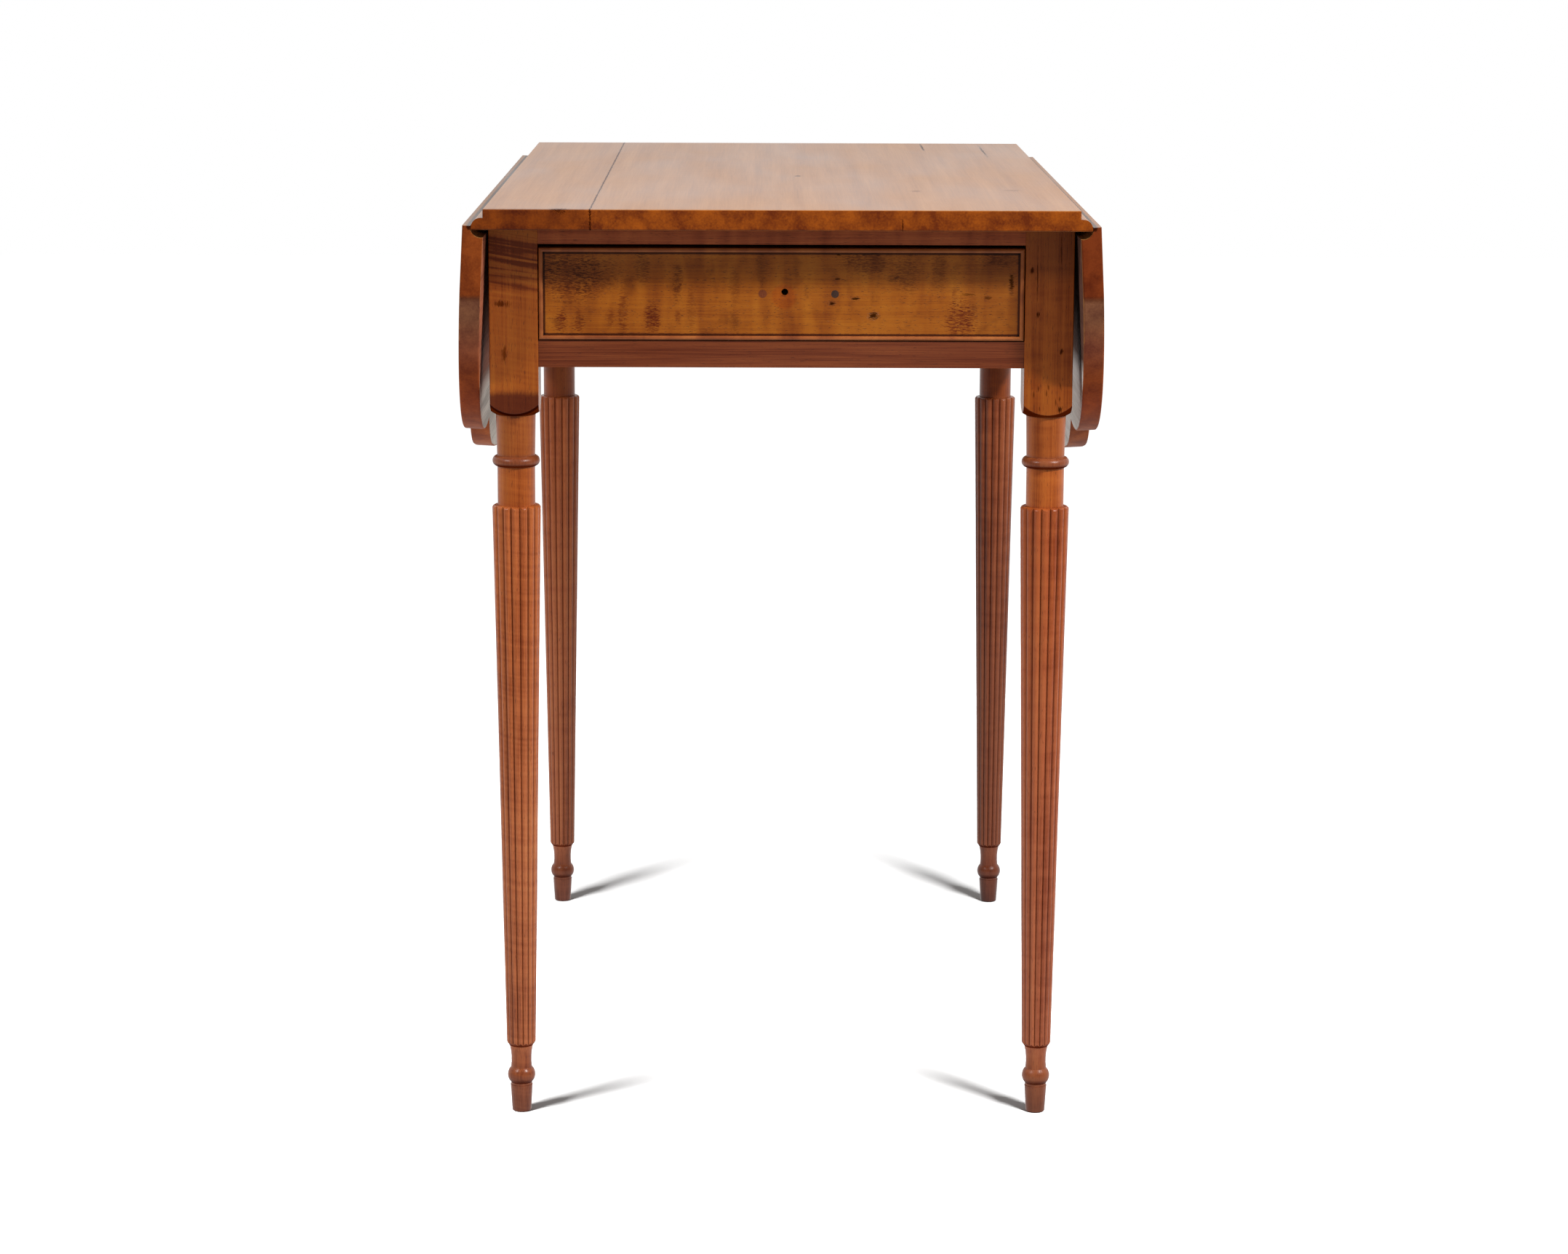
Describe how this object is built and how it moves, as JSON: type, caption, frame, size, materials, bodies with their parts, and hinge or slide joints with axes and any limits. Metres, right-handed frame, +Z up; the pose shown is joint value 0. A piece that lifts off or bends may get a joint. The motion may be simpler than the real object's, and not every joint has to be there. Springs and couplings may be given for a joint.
{
  "type": "pembroke table",
  "caption": "Drop-leaf table with lobed hanging leaves on rule joints, swinging brackets, a drawer in one end and reeded tapering turned legs.",
  "frame": {"origin": "on the floor, under the middle of the top", "axes": "+Z up, -Y out of the drawer's front, +X to the right of a person facing the drawer"},
  "size_m": [0.5052, 0.777, 0.724],
  "materials": {
    "top_birch": "glossy aged varnish on pale birch",
    "leg_birch": "glossy red-brown stain on birch",
    "rail_birch": "satin brown stain",
    "curly_maple": "glossy golden brown with curl figure",
    "bead_maple": "glossy golden brown",
    "pine": "bare, aged",
    "plug_wood": "dark filler flush with the front",
    "iron": "dark wrought iron"
  },
  "bodies": {
    "frame": {"top_wide_board": "top_birch", "top_narrow_board": "top_birch", "leg_front_left": "leg_birch", "leg_front_right": "leg_birch", "leg_rear_left": "leg_birch", "leg_rear_right": "leg_birch", "side_rail_left": "rail_birch", "side_rail_right": "rail_birch", "back_rail": "rail_birch", "drawer_rail_top": "leg_birch", "drawer_rail_bottom": "leg_birch", "drawer_runner_left": "pine", "drawer_kicker_left": "pine", "drawer_stop_left": "pine", "fly_rail_front_left": "rail_birch", "fly_rail_rear_left": "rail_birch", "fly_pin_left": "iron", "fly_rail_screws_left": "iron", "hinge_top_plates_left": "iron", "hinge_pins_left": "iron", "hinge_top_screws_left": "iron", "drawer_runner_right": "pine", "drawer_kicker_right": "pine", "drawer_stop_right": "pine", "fly_rail_front_right": "rail_birch", "fly_rail_rear_right": "rail_birch", "fly_pin_right": "iron", "fly_rail_screws_right": "iron", "hinge_top_plates_right": "iron", "hinge_pins_right": "iron", "hinge_top_screws_right": "iron", "top_screws": "iron", "glue_blocks": "pine"},
    "leaf_left": {"leaf_left": "top_birch", "hinge_leaf_plates_left": "iron", "hinge_leaf_screws_left": "iron"},
    "leaf_right": {"leaf_right": "top_birch", "hinge_leaf_plates_right": "iron", "hinge_leaf_screws_right": "iron"},
    "fly_left": {"fly_bracket_left": "rail_birch"},
    "fly_right": {"fly_bracket_right": "rail_birch"},
    "drawer": {"drawer_front": "curly_maple", "drawer_side_left": "pine", "drawer_side_right": "pine", "drawer_back": "pine", "drawer_bottom": "pine", "drawer_bottom_nails": "iron", "cock_bead_top": "bead_maple", "cock_bead_bottom": "bead_maple", "cock_bead_left": "bead_maple", "cock_bead_right": "bead_maple", "pull_plug_left": "plug_wood", "pull_plug_right": "plug_wood"}
  },
  "joints": [
    {"name": "drawer_slide", "type": "slide", "parent": "frame", "child": "drawer", "axis": [0, -1, 0], "range_m": [0, 0.36]},
    {"name": "leaf_left_hinge", "type": "hinge", "parent": "frame", "child": "leaf_left", "pos_m": [-0.2275, 0, 0.71], "axis": [0, 1, 0], "range_deg": [0, 87]},
    {"name": "leaf_right_hinge", "type": "hinge", "parent": "frame", "child": "leaf_right", "pos_m": [0.2275, 0, 0.71], "axis": [0, -1, 0], "range_deg": [0, 87]},
    {"name": "fly_left_swing", "type": "hinge", "parent": "frame", "child": "fly_left", "pos_m": [-0.21225, 0.07, 0.6656], "axis": [0, 0, -1], "range_deg": [0, 1.5]},
    {"name": "fly_right_swing", "type": "hinge", "parent": "frame", "child": "fly_right", "pos_m": [0.21225, 0.07, 0.6656], "axis": [0, 0, 1], "range_deg": [0, 1.5]}
  ]
}
